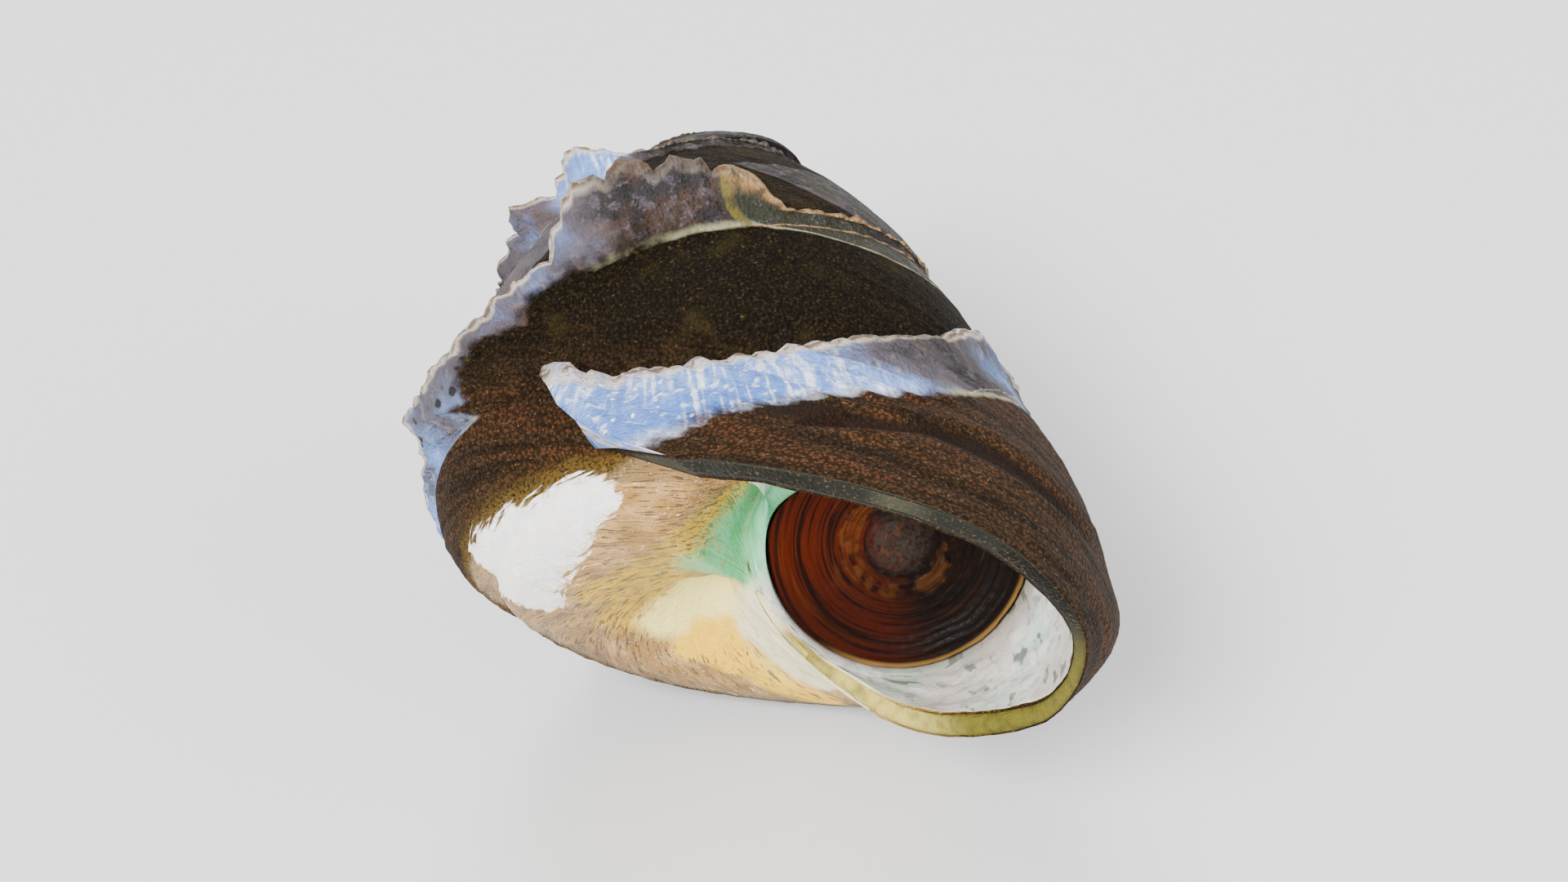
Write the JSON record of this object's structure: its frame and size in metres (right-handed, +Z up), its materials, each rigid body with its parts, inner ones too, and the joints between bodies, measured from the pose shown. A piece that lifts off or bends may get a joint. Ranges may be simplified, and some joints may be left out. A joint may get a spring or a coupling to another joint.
{
  "type": "top shell sea snail shell with operculum",
  "caption": "Conical top-snail shell lying on its back, mouth towards the front and closed by a round horny lid.",
  "frame": {"origin": "middle of the shell's footprint, on the surface that it lies on", "axes": "+Z up as the shell lies, -Y towards the mouth and the viewer, +X to the viewer's right"},
  "size_m": [0.0265, 0.035, 0.0263],
  "materials": {
    "shell": "dark olive horny skin worn to white on the side, tan and mint base, glossy mother-of-pearl mouth",
    "operculum": "dark red-brown translucent horn with fine spiral rings and a golden edge"
  },
  "bodies": {
    "root": {"shell": "shell", "operculum": "operculum"}
  },
  "joints": []
}
